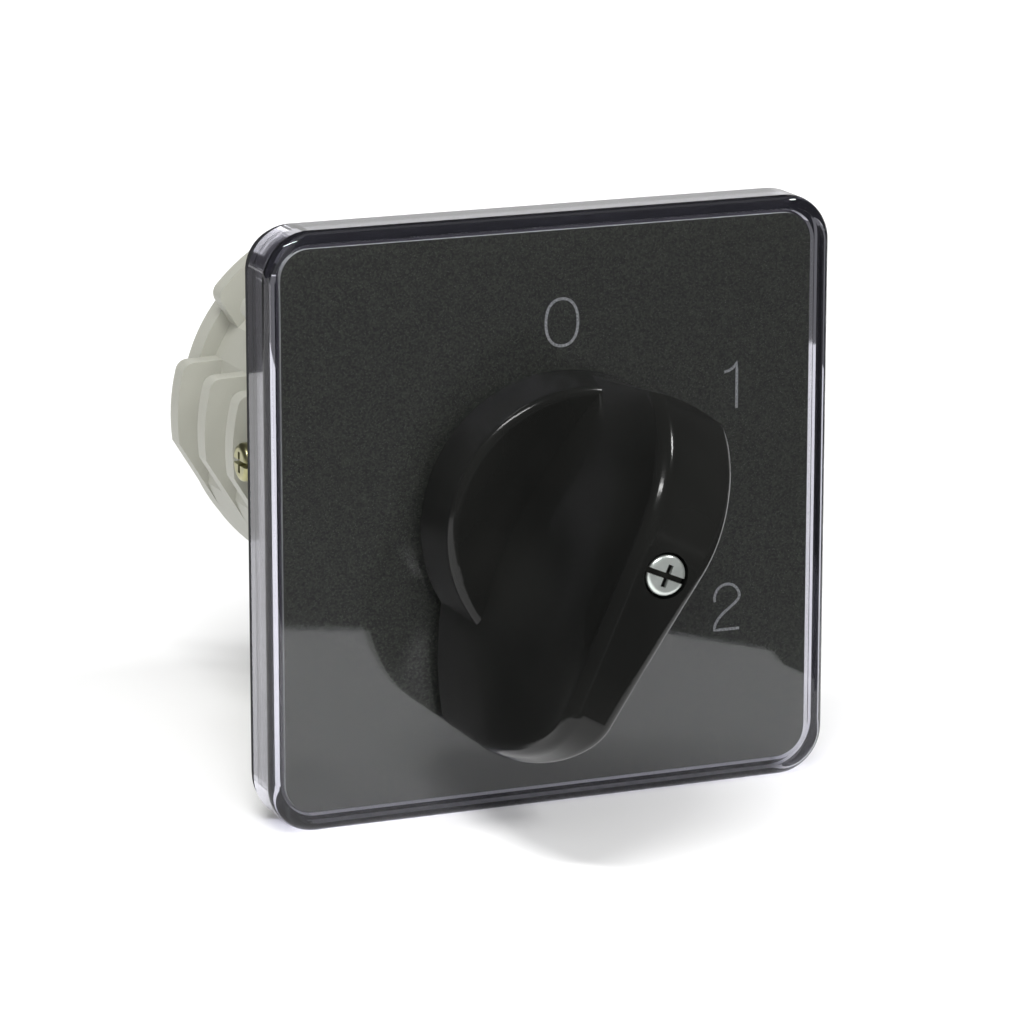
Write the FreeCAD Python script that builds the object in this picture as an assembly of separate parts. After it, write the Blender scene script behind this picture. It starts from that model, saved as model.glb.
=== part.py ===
"""Rotary cam switch, positions 0, 1 and 2, on a 65 mm square front plate with a clear cover.

Millimetres. X right, Z up, Y into the panel. The origin is on the switch axis in the panel plane,
which is the rear face of the gasket, so everything seen from the front lies at negative Y.
Angles are measured from +X towards +Z, as seen from the front. Everything that turns is drawn with the
knob on position 1 and then turned back to where it rests, on its way from 0 to 1.
A cutter runs 1 mm past each face that it opens.
"""
import FreeCAD, Part
import math
import os

V = FreeCAD.Vector
AXIS = V(0, 1, 0)
ORIGIN = V(0, 0, 0)

# Front plate: clear cover, legend plate, frame and gasket
plate_width = 65.0
plate_corner = 5.2
cover_depth = 5.7
cover_face = 1.8
cover_wall = 1.6
cover_edge_round = 1.3
cover_hole_radius = 7.4
cover_fit = 0.15
legend_thickness = 0.5
legend_play = 0.4
legend_gap = 0.1
rim_gap = 0.1
frame_rim = 1.4
frame_rim_inset = 0.3
frame_web = 1.8
frame_wall = 1.8
frame_rib = 1.4
frame_disc_margin = 1.2
gasket_thickness = 1.2
gasket_inset = 0.7

# Fixing holes to the panel
fixing_inset = 8.5
fixing_hole_radius = 2.25
fixing_head_radius = 4.0
fixing_head_depth = 2.6
fixing_boss_radius = 5.6

# Knob: a round skirt, and a blade that is waisted for the fingers and widens into it
knob_gap = 1.2
skirt_radius = 15.9
skirt_height = 6.6
skirt_draft = 0.7
skirt_wall = 1.7
skirt_top = 1.8
skirt_round = 1.0
grip_height = 29.0
grip_head_reach = 18.4
grip_head_round = 17.1
grip_foot_round = 16.0
grip_tail_reach = 25.2
grip_flat_head = 1.5
grip_tail_shoulder = 8.7
grip_edge_round = 1.4
grip_tail_drop = 0.15
grip_waist_drop = 9.0
front_head_half = 6.7
front_root_half = 3.8
front_end_half = 2.3
waist_head_half = 5.0
waist_root_half = 2.8
waist_end_half = 1.7
foot_head_half = 5.0
foot_root_half = 6.2
foot_end_half = 1.4
base_head_half = 4.8
base_root_half = 8.3
base_end_half = 1.3
pocket_head_reach = 10.2
pocket_head_height = 17.6
pocket_tail_step = 0.6
pocket_roof = 4.1
tail_core_wall = 5.2
tail_core_height = 13.0
tail_core_root_half = 2.0
tail_core_end_half = 0.6
hub_radius = 6.0
hub_depth = 1.2
pointer_angle = 30.0
rest_turn = 31.0
knob_screw_head_radius = 2.2
knob_screw_proud = 0.2
knob_screw_slot_turn = 54.0
knob_screw_head_height = 1.7
knob_screw_radius = 1.45
knob_screw_length = 14.0
knob_screw_web = 5.5
screw_head_play = 0.25
screw_edge_round = 0.6
slot_width = 0.6
slot_depth = 0.9
slot_cross_half = 1.2

# Spindle
spindle_square = 6.0
journal_radius = 4.5
collar_radius = 6.2
collar_thickness = 1.2
rear_journal_radius = 2.9
rear_journal_length = 2.2
running_fit = 0.06

# Seal
seal_radius = 7.0
seal_thickness = 2.0
seal_lip = 0.8

# Latch housing and detent
latch_length = 13.6
latch_front = 3.2
latch_wall = 1.8
latch_neck_radius = 6.6
latch_neck_length = 2.4
latch_flat_depth = 1.8
latch_cover_thickness = 1.5
wheel_radius = 10.4
wheel_notch_radius = 2.2
wheel_notch_depth = 1.3
wheel_thickness = 4.2
wheel_notches = 6
stop_lug_step = 2.2
stop_lug_half_angle = 9.0
stop_margin_angle = 1.5
stop_rib_half_angle = 6.0
roller_radius = 1.9
roller_pin_play = 0.1
slider_half_width = 3.4
slider_length = 4.6
slider_pin_length = 1.2
detent_spring_radius = 2.3
detent_wire = 0.6
detent_spring_turns = 2
detent_spring_length = 2.0

# Stages
stage_count = 4
stage_length = 9.5
flange_thickness = 2.6
floor_thickness = 1.6
core_step = 2.3
petal_height = 2.1
petal_corner = 1.5
petal_tip_angle = 4.5
petal_span_angle = 24.0
petal_fall_angle = 25.5
chord_angle = 20.0
chamber_wall = 1.3
contact_angle = 152.0
terminal_angle = 28.0
chamber_half_width = 5.6

# Cams
cam_radius = 9.0
cam_notch_depth = 1.4
cam_notch_angle = 40.0
cam_thickness = 4.4
cam_hub_radius = 5.8
cam_gap = 1.0
follower_gap = 0.3
follower_room = 0.4
step_angle = 60.0

# Contacts
plunger_half_width = 2.5
plunger_stem_length = 1.0
plunger_height = 3.8
plunger_pin_radius = 0.8
plunger_pin_length = 2.4
cheek_gap = 0.6
bridge_thickness = 0.8
bridge_half_length = 5.1
bridge_height = 3.6
button_radius = 0.9
button_height = 0.4
button_place = 4.2
contact_gap = 1.1
spring_wire = 0.5
spring_radius = 1.6
spring_turns = 3
spring_length = 3.5
strip_thickness = 0.9
strip_height = 4.4
strip_start = 3.1
strip_foot = 1.0
terminal_step = 0.3
terminal_inset = 0.6
terminal_half_width = 2.7
slide_play = 0.15
clamp_thickness = 0.9
clamp_half_width = 2.5
clamp_lip = 2.8
terminal_screw_head_radius = 2.2
terminal_screw_head_height = 2.2
terminal_screw_radius = 1.5
terminal_screw_length = 3.0

# Tie bolts and rear cover
tie_angle = 62.0
tie_inset = 4.3
tie_bolt_radius = 1.45
tie_hole_play = 0.2
tie_head_radius = 2.5
tie_head_height = 1.9
tie_nut_width = 5.5
tie_nut_thickness = 2.2
rear_cover_inset = 0.4
rear_cover_thickness = 4.2
rear_cover_round = 1.0
peg_radius = 1.1
peg_height = 1.0
peg_angle = 84.0

# How far a boss, pin or rib reaches into the body that it is one piece with
sink = 0.2

# Which contact closes in which position, by stage and side
PROGRAM = {(1, "left"): 1, (1, "right"): 2, (2, "left"): 1, (2, "right"): 2,
           (3, "right"): 1, (4, "right"): 2}
SIDE_ANGLE = {"left": contact_angle, "right": contact_angle + 180.0}
ROTOR = ["knob", "knob_screw", "spindle", "detent_wheel"] + [f"cam_{k + 1}" for k in range(stage_count)]

# Places along the axis that follow from the sizes
frame_back = -gasket_thickness
rim_front = frame_back - frame_rim
cover_back = rim_front - rim_gap
face_y = cover_back - cover_depth
legend_front = face_y + cover_face + legend_gap
frame_front = legend_front + legend_thickness
fixing_spacing = plate_width - 2 * fixing_inset
latch_back = frame_back + latch_length
stages_start = latch_back + latch_cover_thickness
stages_end = stages_start + stage_count * stage_length
knob_back = face_y - knob_gap
knob_front = face_y - grip_height
skirt_front = knob_back - skirt_height
screw_seat = knob_front - knob_screw_proud + knob_screw_head_height
spindle_front = screw_seat + knob_screw_web
hub_back = face_y + hub_depth
wheel_front = frame_back + latch_front + collar_thickness
stage_mid = (stage_length - flange_thickness) / 2
nose_reach = cam_radius + follower_gap
grip_tail_root = grip_tail_reach / 2
grip_flat_tail = grip_tail_reach - grip_tail_shoulder
pocket_tail_reach = grip_tail_root + pocket_tail_step
tail_core_reach = grip_tail_reach - tail_core_wall

# Places across the axis that follow from the sizes, from the cams outwards
plunger_body_reach = nose_reach + plunger_half_width + plunger_stem_length
chamber_reach = plunger_body_reach + bridge_thickness + spring_length
terminal_reach = chamber_reach + terminal_step
chord_distance = terminal_reach + terminal_inset
notch_distance = chamber_reach + chamber_wall
core_radius = notch_distance + core_step
petal_radius = core_radius + petal_height
frame_disc_radius = petal_radius + frame_disc_margin
rear_cover_radius = core_radius - rear_cover_inset
tie_radius = core_radius - tie_inset

# Places across the axis in the latch, from the wheel outwards
stop_lug_reach = wheel_radius + stop_lug_step
roller_centre = wheel_radius + follower_gap + roller_radius
slider_end = roller_centre + slider_length
latch_wall_reach = slider_end + detent_spring_length
latch_radius = latch_wall_reach + latch_wall
latch_flat = latch_radius - latch_flat_depth
slider_mid = wheel_front + wheel_thickness / 2


def cylinder(radius, start, end, x=0.0, z=0.0):
    """A round bar along the switch axis from start to end."""
    return Part.makeCylinder(radius, end - start, V(x, start, z), AXIS)


def radial_cylinder(radius, start, end, y):
    """A round bar pointing out along +X at the height y on the axis."""
    return Part.makeCylinder(radius, end - start, V(start, y, 0), V(1, 0, 0))


def block(x0, x1, y0, y1, z0, z1):
    """A box between two corners."""
    return Part.makeBox(x1 - x0, y1 - y0, z1 - z0, V(x0, y0, z0))


def turned(shape, degrees):
    """The shape turned about the switch axis, anticlockwise as seen from the front."""
    copy = shape.copy()
    copy.rotate(ORIGIN, AXIS, -degrees)
    return copy


def shifted(shape, y):
    """The shape moved along the switch axis."""
    copy = shape.copy()
    copy.translate(V(0, y, 0))
    return copy


def polar(degrees, radius):
    """A point in the plane of the plate."""
    angle = math.radians(degrees)
    return V(radius * math.cos(angle), 0, radius * math.sin(angle))


def arc(radius, start, end):
    """An arc about the axis, between two angles."""
    middle = polar((start + end) / 2, radius)
    return Part.Arc(polar(start, radius), middle, polar(end, radius)).toShape()


def line(a, b):
    return Part.LineSegment(a, b).toShape()


def prism(edges, start, end):
    """The closed outline of these edges carried along the axis from start to end."""
    face = Part.Face(Part.Wire(Part.__sortEdges__(edges)))
    solid = face.extrude(V(0, end - start, 0))
    return shifted(solid, start)


def polygon_prism(points, start, end):
    """A straight-sided outline in the plane of the plate, carried along the axis."""
    loop = points + points[:1]
    return prism([line(a, b) for a, b in zip(loop, loop[1:])], start, end)


def edges_along_axis(shape):
    """The straight edges that run along the switch axis."""
    def runs(edge):
        first, last = edge.Vertexes[0].Point, edge.Vertexes[-1].Point
        reach = last.sub(first)
        return reach.Length > 1e-6 and abs(abs(reach.y) - reach.Length) < 1e-6
    return [edge for edge in shape.Edges if len(edge.Vertexes) == 2 and runs(edge)]


def rounded_square(width, corner, start, end):
    """A square plate with rounded corners, centred on the axis."""
    half = width / 2
    plate = block(-half, half, start, end, -half, half)
    return plate.makeFillet(corner, edges_along_axis(plate))


def fused(shapes):
    """One solid from shapes that meet, with the seams between them cleaned off."""
    first, rest = shapes[0], shapes[1:]
    return first.fuse(rest).removeSplitter() if rest else first


def less(shape, cutters):
    """The shape with every cutter taken away."""
    return shape.cut(cutters)


def four_corners(distance):
    """The four places at the same distance out along X and Z."""
    return [(sx * distance, sz * distance) for sx in (-1, 1) for sz in (-1, 1)]


def tie_places():
    """The two tie bolts, opposite each other."""
    return [polar(tie_angle + turn, tie_radius) for turn in (0, 180)]


def tie_holes(start, end):
    """Clearance holes for the two tie bolts."""
    return [cylinder(tie_bolt_radius + tie_hole_play, start, end, p.x, p.z) for p in tie_places()]


def clear_cover():
    """The clear cover: a square shell with a rounded front edge and a hole for the knob's hub."""
    outside = rounded_square(plate_width, plate_corner, face_y, cover_back)
    front_edges = [e for e in outside.Edges if all(abs(v.Y - face_y) < 1e-6 for v in e.Vertexes)]
    outside = outside.makeFillet(cover_edge_round, front_edges)
    inner_width = plate_width - 2 * cover_wall
    inside = rounded_square(inner_width, plate_corner - cover_wall, face_y + cover_face, cover_back + 1)
    return less(outside, [inside, cylinder(cover_hole_radius, face_y - 1, rim_front)])


def legend_plate():
    """The thin printed plate held between the cover and the frame."""
    width = plate_width - 2 * (cover_wall + legend_play)
    corner = plate_corner - cover_wall - legend_play
    plate = rounded_square(width, corner, legend_front, frame_front)
    return less(plate, [cylinder(cover_hole_radius + legend_play, face_y, frame_back)])


def frame_ribs(half):
    """Cross and corner ribs that stiffen the back of the frame."""
    half_rib = frame_rib / 2
    upright = block(-half_rib, half_rib, frame_front, frame_back, -half, half)
    ribs = [turned(upright, 45 * k) for k in range(4)]
    return ribs


def front_frame():
    """The moulded frame behind the legend plate, hollow at the back between its ribs and bosses."""
    inner_width = plate_width - 2 * (cover_wall + cover_fit)
    corner = plate_corner - cover_wall - cover_fit
    body = rounded_square(inner_width, corner, frame_front, frame_back)
    hollow_width = inner_width - 2 * frame_wall
    hollow = rounded_square(hollow_width, corner, frame_front + frame_web, frame_back + 1)
    kept = [cylinder(frame_disc_radius, frame_front, frame_back)]
    kept += [cylinder(fixing_boss_radius, frame_front, frame_back, x, z)
             for x, z in four_corners(fixing_spacing / 2)]
    kept += frame_ribs(hollow_width / 2)
    shell = less(body, [hollow.cut(kept)])
    rim = rounded_square(plate_width - 2 * frame_rim_inset, plate_corner - frame_rim_inset,
                         rim_front, frame_back)
    rim = less(rim, [rounded_square(hollow_width, corner, rim_front - 1, frame_back + 1)])
    cutters = []
    for x, z in four_corners(fixing_spacing / 2):
        cutters.append(cylinder(fixing_hole_radius, frame_front - 1, frame_back + 1, x, z))
        cutters.append(cylinder(fixing_head_radius, frame_front - 1,
                                frame_front + fixing_head_depth, x, z))
    cutters.append(cylinder(seal_radius + cover_fit, frame_front - 1, frame_front + seal_thickness))
    cutters.append(cylinder(latch_neck_radius + cover_fit, frame_front, frame_back + 1))
    cutters += tie_holes(frame_front - 1, frame_back + 1)
    cutters += [nut_pocket(place) for place in tie_places()]
    return less(fused([shell, rim]), cutters)


def nut_block(place, width, start, end):
    """A square nut or its pocket, turned so that one flat faces the switch axis."""
    half = width / 2
    nut = block(-half, half, start, end, -half, half)
    angle = math.degrees(math.atan2(place.z, place.x))
    nut = turned(nut, angle)
    nut.translate(V(place.x, 0, place.z))
    return nut


def nut_pocket(place):
    """The pocket in the frame's front that holds one tie nut."""
    return nut_block(place, tie_nut_width + 2 * cover_fit, frame_front - 1,
                     frame_front + tie_nut_thickness)


def tie_nuts():
    """Two square nuts in the frame's front, under the legend plate."""
    return [nut_block(p, tie_nut_width, frame_front, frame_front + tie_nut_thickness)
            .cut(cylinder(tie_bolt_radius, frame_front - 1, frame_back, p.x, p.z))
            for p in tie_places()]


def panel_gasket():
    """The flat rubber gasket between the frame and the panel."""
    sheet = rounded_square(plate_width - 2 * gasket_inset, plate_corner - gasket_inset,
                           frame_back, 0.0)
    holes = [cylinder(fixing_hole_radius, frame_back - 1, 1, x, z)
             for x, z in four_corners(fixing_spacing / 2)]
    opening = cylinder(petal_radius + 2 * slide_play, frame_back - 1, 1)
    return less(sheet, holes + [opening])


def shaft_seal():
    """A rubber ring with a soft lip round the spindle's journal."""
    end = frame_front + seal_thickness
    ring = cylinder(seal_radius, frame_front, end)
    inner = journal_radius + running_fit
    groove = less(cylinder(seal_radius - seal_lip, frame_front, end - seal_lip),
                  [cylinder(inner + seal_lip, frame_front - 1, end)])
    return less(ring, [cylinder(inner, frame_front - 1, end + 1), groove])


def grip_level(y, head_round, head_half, root_half, end_half):
    """The grip's outline at one height: a round head, two smooth flanks and a narrow blunt tail."""
    head_x = math.sqrt(head_round ** 2 - head_half ** 2)
    head_points = [V(head_x, y, -head_half), V(head_round, y, 0), V(head_x, y, head_half)]
    end_points = [V(-grip_tail_reach, y, end_half), V(-grip_tail_reach, y, -end_half)]
    upper, lower = Part.BSplineCurve(), Part.BSplineCurve()
    upper.interpolate([head_points[2], V(-grip_tail_root, y, root_half), end_points[0]])
    lower.interpolate([end_points[1], V(-grip_tail_root, y, -root_half), head_points[0]])
    return Part.Wire([Part.Arc(*head_points).toShape(), upper.toShape(), line(*end_points),
                      lower.toShape()])


def grip_blade():
    """The grip before its side view is cut: four outlines, from the foot to the front, joined smoothly."""
    waist = knob_front + grip_waist_drop
    levels = [grip_level(knob_back, grip_foot_round, base_head_half, base_root_half, base_end_half),
              grip_level(skirt_front, grip_foot_round, foot_head_half, foot_root_half, foot_end_half),
              grip_level(waist, grip_head_round, waist_head_half, waist_root_half, waist_end_half),
              grip_level(knob_front - 1, grip_head_round, front_head_half, front_root_half, front_end_half)]
    return Part.makeLoft(levels, True, False)


def quarter_ellipse(first, last):
    """The quarter of an ellipse from a flat top down to an upright end."""
    centre = V(first.x, last.y, first.z)
    long_first = abs(first.y - last.y) >= abs(last.x - first.x)
    curve = Part.Ellipse(first, last, centre) if long_first else Part.Ellipse(last, first, centre)
    near, far = sorted((first.x, last.x))
    quarter = block(near, far, first.y, last.y, first.z - 1, first.z + 1)
    return curve.toShape().common(quarter).Edges[0]


def grip_side():
    """The grip's side view: a flat front, a long shoulder at the head and a steep one at the tail."""
    half = grip_head_reach
    low, out = knob_back + 1, -grip_tail_reach - 1
    head_top = V(grip_flat_head, knob_front, -half)
    head_foot = V(grip_head_reach, skirt_front, -half)
    tail_top = V(-grip_flat_tail, knob_front, -half)
    tail_foot = V(-grip_tail_reach - grip_tail_drop, skirt_front, -half)
    head_low, tail_low = V(grip_head_reach, low, -half), V(out, low, -half)
    tail_out = V(out, skirt_front, -half)
    edges = [quarter_ellipse(head_top, head_foot), line(head_foot, head_low), line(head_low, tail_low),
             line(tail_low, tail_out), line(tail_out, tail_foot), quarter_ellipse(tail_top, tail_foot),
             line(tail_top, head_top)]
    face = Part.Face(Part.Wire(Part.__sortEdges__(edges)))
    return face.extrude(V(0, 0, 2 * half))


def faces_up(face):
    """Whether a face looks to the front and not sideways: the flat front and the two shoulders."""
    u0, u1, v0, v1 = face.ParameterRange
    normal = face.normalAt((u0 + u1) / 2, (v0 + v1) / 2)
    return abs(normal.z) < 0.02 and normal.y < -0.2


def border_edges(shape, wanted):
    """The edges between the faces that are wanted and the others."""
    inside = [edge for face in shape.Faces if wanted(face) for edge in face.Edges]
    outside = [edge for face in shape.Faces if not wanted(face) for edge in face.Edges]
    return [edge for edge in inside if any(edge.isSame(other) for other in outside)]


def knob_grip():
    """The raised grip, with its head towards the pointed position and its long edges rounded."""
    grip = grip_blade().common(grip_side())
    edge_round = min(grip_edge_round, foot_end_half)
    grip = grip.makeFillet(edge_round, border_edges(grip, faces_up))
    return turned(grip, pointer_angle)


def knob_skirt():
    """The round skirt, slightly drafted, with a rounded top edge."""
    low, high = skirt_radius, skirt_radius - skirt_draft
    cone = Part.makeCone(high, low, skirt_height, V(0, skirt_front, 0), AXIS)
    top_edges = [e for e in cone.Edges
                 if len(e.Vertexes) == 1 and abs(e.Vertexes[0].Y - skirt_front) < 1e-6]
    return cone.makeFillet(skirt_round, top_edges)


def waist_half(x):
    """Half the blade's width at its waist, at a place along the grip."""
    run = grip_head_round + grip_tail_root
    return waist_root_half + (waist_head_half - waist_root_half) * (x + grip_tail_root) / run


def knob_core_pockets():
    """The moulding pockets under the grip: either side of the hub, and up into the tail."""
    head_half = waist_half(hub_radius) - skirt_wall
    tail_half = waist_half(-pocket_tail_reach) - skirt_wall
    head = block(hub_radius, pocket_head_reach, face_y - pocket_head_height, knob_back + 1,
                 -head_half, head_half)
    tail = block(-pocket_tail_reach, -hub_radius, knob_front + pocket_roof, knob_back + 1,
                 -tail_half, tail_half)
    near, far = V(-grip_tail_root, 0, tail_core_root_half), V(-tail_core_reach, 0, tail_core_end_half)
    fin = polygon_prism([near, far, V(far.x, 0, -far.z), V(near.x, 0, -near.z)],
                        face_y - tail_core_height, knob_back + 1)
    return [turned(pocket, pointer_angle) for pocket in (head, tail, fin)]


def knob():
    """The knob: skirt, grip, hub and the square socket for the spindle, hollow underneath."""
    shell = fused([knob_skirt(), knob_grip()])
    inner = skirt_radius - skirt_draft - skirt_wall
    hollow = less(cylinder(inner, skirt_front + skirt_top, knob_back + 1),
                  [cylinder(hub_radius, skirt_front, knob_back + 2)])
    shell = less(shell, [hollow] + knob_core_pockets())
    shell = fused([shell, cylinder(hub_radius, skirt_front, hub_back)])
    socket = square_bar(spindle_front, hub_back + 1)
    screw_hole = cylinder(knob_screw_radius + screw_head_play, knob_front - 1, spindle_front + 1)
    head_seat = cylinder(knob_screw_head_radius + screw_head_play, knob_front - 1, screw_seat)
    return less(shell, [socket, screw_hole, head_seat])


def cross_slots(radius, start, depth):
    """A straight slot crossed by a shorter one, cut into a screw head from the front."""
    half = slot_width / 2
    long_slot = block(-radius - 1, radius + 1, start - 1, start + depth, -half, half)
    short_slot = block(-half, half, start - 1, start + depth, -slot_cross_half, slot_cross_half)
    return [long_slot, short_slot]


def knob_screw():
    """The screw that holds the knob on the spindle, with a slotted cross head."""
    front = screw_seat - knob_screw_head_height
    head = cylinder(knob_screw_head_radius, front, screw_seat)
    rim = [e for e in head.Edges if len(e.Vertexes) == 1 and abs(e.Vertexes[0].Y - front) < 1e-6]
    head = head.makeFillet(screw_edge_round, rim)
    shank = cylinder(knob_screw_radius, screw_seat - sink, screw_seat + knob_screw_length)
    slots = cross_slots(knob_screw_head_radius, front, slot_depth)
    return less(fused([head, shank]), [turned(slot, -knob_screw_slot_turn) for slot in slots])


def square_bar(start, end):
    """The spindle's square, in line with the grip; also the hole of each piece that it turns."""
    half = spindle_square / 2
    return turned(block(-half, half, start, end, -half, half), pointer_angle)


def spindle():
    """The square steel spindle with two journals, a collar and a tapped front end."""
    bar = square_bar(spindle_front, stages_end)
    collar_start = frame_back + latch_front
    collar_end = collar_start + collar_thickness
    journal = cylinder(journal_radius, hub_back, collar_end)
    collar = cylinder(collar_radius, collar_start + running_fit, collar_end)
    rear = cylinder(rear_journal_radius, stages_end - 1, stages_end + rear_journal_length)
    tapped = cylinder(knob_screw_radius, spindle_front - 1, screw_seat + knob_screw_length + 1)
    return less(fused([bar, journal, collar, rear]), [tapped])


def detent_wheel():
    """The notched wheel of the latch, with the lug that meets the two stops."""
    start, end = wheel_front, wheel_front + wheel_thickness
    disc = cylinder(wheel_radius, start, end)
    hub_end = stages_start
    hub = cylinder(cam_hub_radius, start, hub_end)
    lug_top = end + 2 * floor_thickness
    lug = sector(stop_lug_reach, stop_lug_half_angle, 90.0, end, lug_top)
    web = sector(wheel_radius, stop_lug_half_angle, 90.0, end - 1, lug_top)
    centre = wheel_radius + wheel_notch_radius - wheel_notch_depth
    notches = []
    for k in range(wheel_notches):
        place = polar(360 / wheel_notches * k, centre)
        notches.append(cylinder(wheel_notch_radius, start - 1, end, place.x, place.z))
    body = fused([less(disc, notches), hub, web, lug])
    return less(body, [square_bar(start - 1, hub_end + 1)])


def sector(radius, half_angle, angle, start, end):
    """A slice of a disc, from the axis out to the radius."""
    edges = [arc(radius, angle - half_angle, angle + half_angle),
             line(ORIGIN, polar(angle - half_angle, radius)),
             line(polar(angle + half_angle, radius), ORIGIN)]
    return prism(edges, start, end)


def stop_ribs():
    """Two ribs inside the latch housing that stop the lug at the end positions."""
    half = stop_lug_half_angle + step_angle + stop_margin_angle
    start = wheel_front + wheel_thickness + 2 * slide_play
    inner = cylinder(wheel_radius + cam_gap, start - 1, latch_back + 1)
    ribs = [sector(latch_wall_reach + sink, stop_rib_half_angle, 90 + side * (half + stop_rib_half_angle),
                   start, latch_back) for side in (-1, 1)]
    return [rib.cut(inner) for rib in ribs]


def slider_channel():
    """The straight channel across the latch housing in which the two sliders run."""
    half, reach = slider_half_width + slide_play, latch_wall_reach
    return block(-reach, reach, frame_back + latch_front, wheel_front + wheel_thickness + 1, -half, half)


def latch_housing():
    """The round housing of the latch, with a bearing neck at the front and open at the back."""
    body = cylinder(latch_radius, frame_back, latch_back)
    flats = [turned(block(latch_flat, latch_radius + 1, frame_back - 1, latch_back + 1,
                          -latch_radius, latch_radius), angle) for angle in SIDE_ANGLE.values()]
    body = less(body, flats)
    neck = cylinder(latch_neck_radius, frame_back - latch_neck_length, frame_back + 1)
    cavity_front = frame_back + latch_front
    cavity = cylinder(stop_lug_reach + cam_gap, cavity_front, latch_back + 1)
    bore = cylinder(journal_radius + running_fit, frame_back - latch_neck_length - 1, cavity_front + 1)
    cutters = [cavity, slider_channel(), bore] + tie_holes(frame_back - 1, latch_back + 1)
    hollow = less(fused([body, neck]), cutters)
    return fused([hollow] + stop_ribs())


def both_sides(shape):
    """The piece on the right and the same piece turned to the left."""
    return [shape, turned(shape, 180)]


def detent_rollers():
    """Two steel rollers that drop into the wheel's notches."""
    return both_sides(cylinder(roller_radius, wheel_front, wheel_front + wheel_thickness, roller_centre))


def detent_sliders():
    """Two moulded sliders, each cradling a roller and backed by a spring."""
    low, high = wheel_front, wheel_front + wheel_thickness
    body = block(roller_centre, slider_end, low, high, -slider_half_width, slider_half_width)
    cradle = cylinder(roller_radius + roller_pin_play, low - 1, high + 1, roller_centre)
    pin = radial_cylinder(detent_spring_radius - detent_wire - slide_play, slider_end - sink,
                          slider_end + slider_pin_length, slider_mid)
    return both_sides(less(fused([body, pin]), [cradle]))


def coil(radius, wire, start, end, y, turns):
    """A compression spring along +X, drawn as touching turns with a rounded outline."""
    pitch = (end - start) / turns
    inner, outer, waist = radius - wire, radius, radius - wire / 2
    points = [V(start, 0, inner)]
    for k in range(turns):
        foot = start + k * pitch
        points += [V(foot + pitch / 4, 0, outer), V(foot + 3 * pitch / 4, 0, outer),
                   V(foot + pitch, 0, waist)]
    points.append(V(end, 0, inner))
    loop = points + points[:1]
    face = Part.Face(Part.makePolygon(loop))
    solid = face.revolve(ORIGIN, V(1, 0, 0), 360)
    return shifted(solid, y)


def detent_springs():
    """Two springs between the sliders and the housing wall."""
    return both_sides(coil(detent_spring_radius, detent_wire, slider_end, latch_wall_reach, slider_mid,
                           detent_spring_turns))


def latch_cover():
    """The plate that closes the latch housing towards the first stage."""
    plate = prism(core_edges(), latch_back, stages_start)
    cutters = [cylinder(cam_hub_radius + cam_gap / 2, latch_back - 1, stages_start + 1)]
    return less(plate, cutters + tie_holes(latch_back - 1, stages_start + 1) + peg_holes(stages_start))


def peg_places():
    """The locating pegs, opposite each other."""
    return [polar(peg_angle + turn, tie_radius) for turn in (0, 180)]


def peg_holes(back):
    """Blind holes in a rear face for the next piece's pegs."""
    return [cylinder(peg_radius + tie_hole_play, back - peg_height - tie_hole_play, back + 1, p.x, p.z)
            for p in peg_places()]


def pegs(front):
    """Pegs that stand forward of a front face."""
    return [cylinder(peg_radius, front - peg_height, front + sink, p.x, p.z) for p in peg_places()]


def chord_start_angle():
    """Where a flat chord face meets the round wall, from the contact's direction."""
    return chord_angle + math.degrees(math.acos(chord_distance / core_radius))


def chord_end():
    """The corner between a chord face and the flat at the notch, in the contact's own frame."""
    turn = math.radians(chord_angle)
    x = notch_distance
    z = (chord_distance - x * math.cos(turn)) / math.sin(turn)
    return x, z


def core_edges():
    """The outline of the core: two round walls, and a flat with a chord face on each side of it."""
    edges = []
    wall = chord_start_angle()
    x, z = chord_end()
    corner_angle = math.degrees(math.atan2(z, x))
    corner_radius = math.hypot(x, z)
    for angle in SIDE_ANGLE.values():
        a, b = polar(angle - wall, core_radius), polar(angle - corner_angle, corner_radius)
        c, d = polar(angle + corner_angle, corner_radius), polar(angle + wall, core_radius)
        edges += [line(a, b), line(b, c), line(c, d),
                  arc(core_radius, angle + wall, angle + 180 - wall)]
    return edges


def flange_edges():
    """The outline of a flange: four petals that stand past the core, with a notch at each side."""
    edges = []
    x, z = chord_end()
    foot_angle, foot_radius = math.degrees(math.atan2(z, x)), math.hypot(x, z)
    tip_angle = foot_angle + petal_tip_angle
    petal_end = tip_angle + petal_span_angle
    wall_start = petal_end + petal_fall_angle
    for angle in SIDE_ANGLE.values():
        for side in (-1, 1):
            foot = polar(angle + side * foot_angle, foot_radius)
            tip = polar(angle + side * tip_angle, petal_radius)
            edges.append(line(foot, tip))
            edges.append(arc(petal_radius, angle + side * tip_angle, angle + side * petal_end))
            edges.append(line(polar(angle + side * petal_end, petal_radius),
                              polar(angle + side * wall_start, core_radius)))
        edges.append(line(polar(angle - foot_angle, foot_radius), polar(angle + foot_angle, foot_radius)))
        edges.append(arc(core_radius, angle + wall_start, angle + 180 - wall_start))
    return edges


def petal_tips(shape):
    """The sharp outer edges of the petals, which are rounded in the moulding."""
    found = []
    x, z = chord_end()
    tip_angle = math.degrees(math.atan2(z, x)) + petal_tip_angle
    tips = [polar(angle + side * tip_angle, petal_radius)
            for angle in SIDE_ANGLE.values() for side in (-1, 1)]
    for edge in edges_along_axis(shape):
        place = edge.Vertexes[0].Point
        if any(math.hypot(place.x - t.x, place.z - t.z) < 0.01 for t in tips):
            found.append(edge)
    return found


def flange():
    """One barrier flange with rounded petal tips."""
    start, end = stage_length - flange_thickness, stage_length
    plate = prism(flange_edges(), start, end)
    return plate.makeFillet(petal_corner, petal_tips(plate))


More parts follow.
